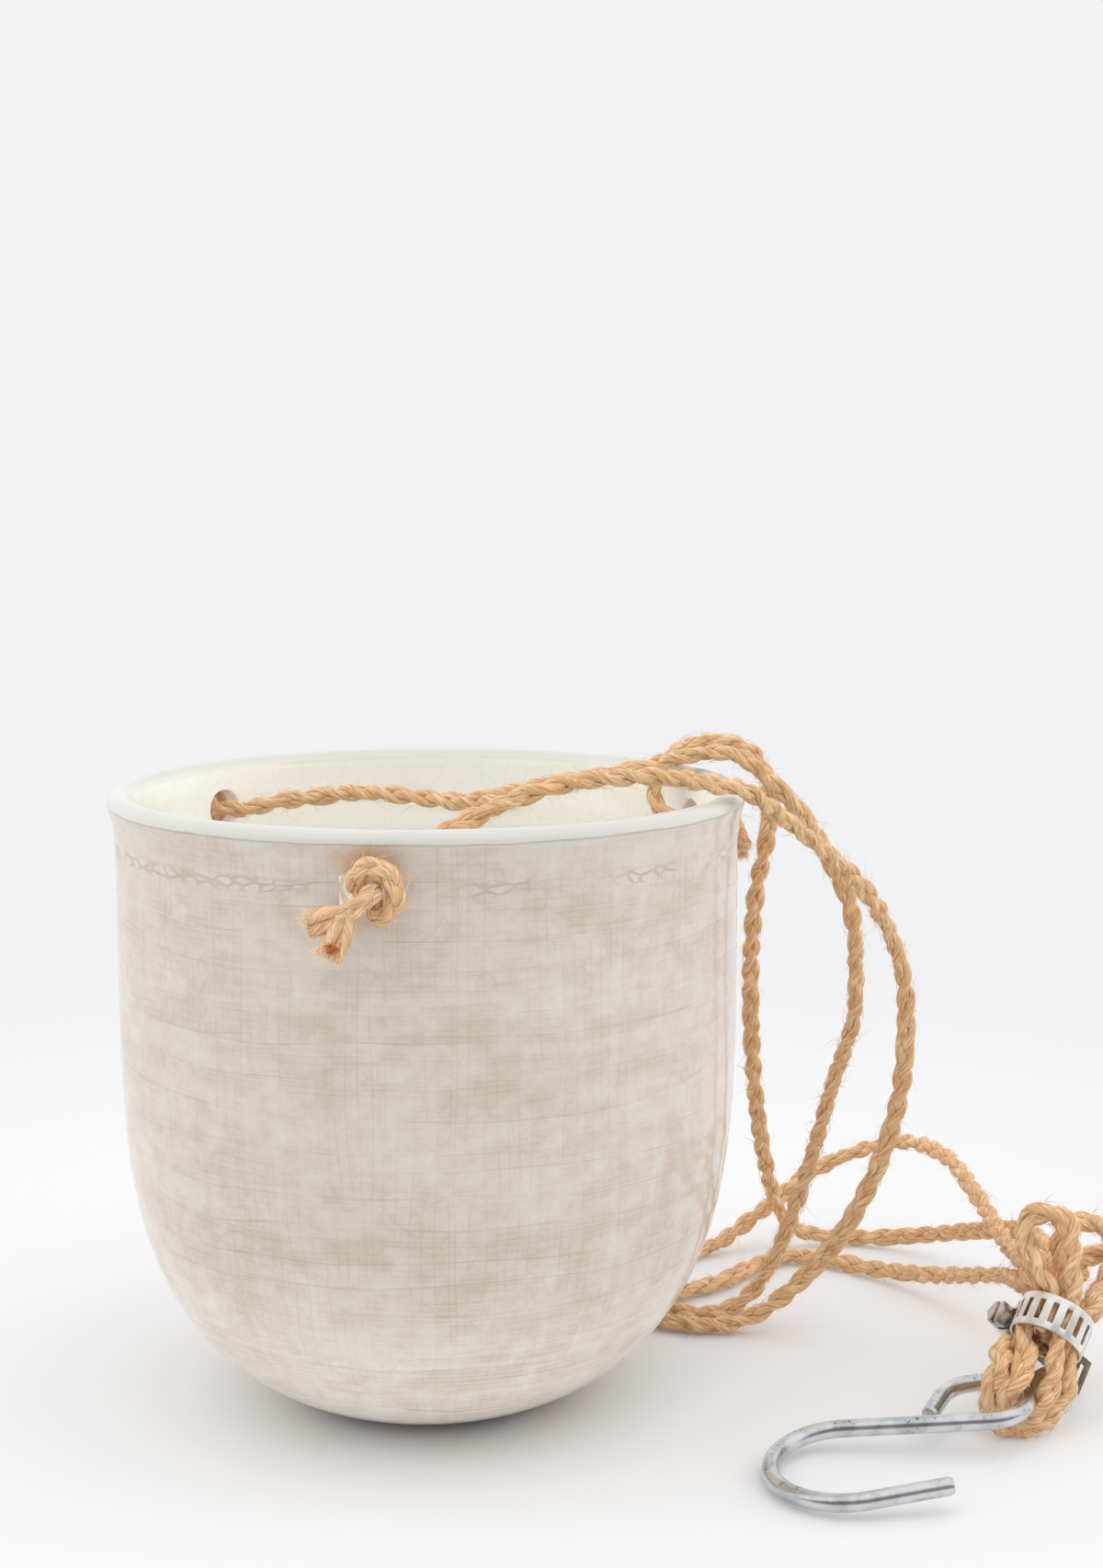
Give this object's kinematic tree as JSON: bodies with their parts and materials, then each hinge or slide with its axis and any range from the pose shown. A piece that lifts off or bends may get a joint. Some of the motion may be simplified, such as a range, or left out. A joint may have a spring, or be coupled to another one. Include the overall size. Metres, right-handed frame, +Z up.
{
  "type": "hanging vase",
  "caption": "Round-bottomed crackle-glazed ceramic pot hung on knotted jute ropes, gathered by a worm-drive clamp over the eye of a wire ceiling hook.",
  "frame": {"origin": "centre of the pot's flat foot, on the surface it stands on", "axes": "+Z up along the pot's axis, +X towards the gathered ropes, -Y towards the picture's viewer"},
  "size_m": [0.312, 0.2466, 0.1992],
  "materials": {
    "glaze": "glossy crackle glaze",
    "jute": "fibrous",
    "clamp_steel": "matte",
    "hook_wire": "shiny, scuffed"
  },
  "bodies": {
    "pot": {"vase_body": "glaze", "front_knot": "jute", "left_knot": "jute", "right_knot": "jute", "front_rope_run": "jute", "left_rope_run": "jute", "right_rope_run": "jute", "front_rope_hank": "jute", "left_rope_hank": "jute", "right_rope_hank": "jute", "clamp_band": "clamp_steel", "clamp_housing": "clamp_steel"},
    "strap": {"clamp_strap_end": "clamp_steel"},
    "screw": {"clamp_screw": "clamp_steel"},
    "hook": {"hook": "hook_wire"}
  },
  "joints": [
    {"name": "hook_swing", "type": "hinge", "parent": "pot", "child": "hook", "pos_m": [0.16309, -0.04488, 0.01158], "axis": [-0.1112, -0.0346, 0.9932], "range_deg": [-30, 40]},
    {"name": "clamp_screw_turn", "type": "hinge", "parent": "pot", "child": "screw", "pos_m": [0.17816, -0.01757, 0.02312], "axis": [0.7238, 0.1846, -0.6648], "range_deg": [-720, 360]},
    {"name": "clamp_strap_slide", "type": "slide", "parent": "pot", "child": "strap", "axis": [0.7238, 0.1846, -0.6648], "range_m": [-0.0016, 0.0032]}
  ],
  "couplings": [
    {"joint": "clamp_strap_slide", "follows": "clamp_screw_turn", "m_per_rad": -0.00025465}
  ]
}
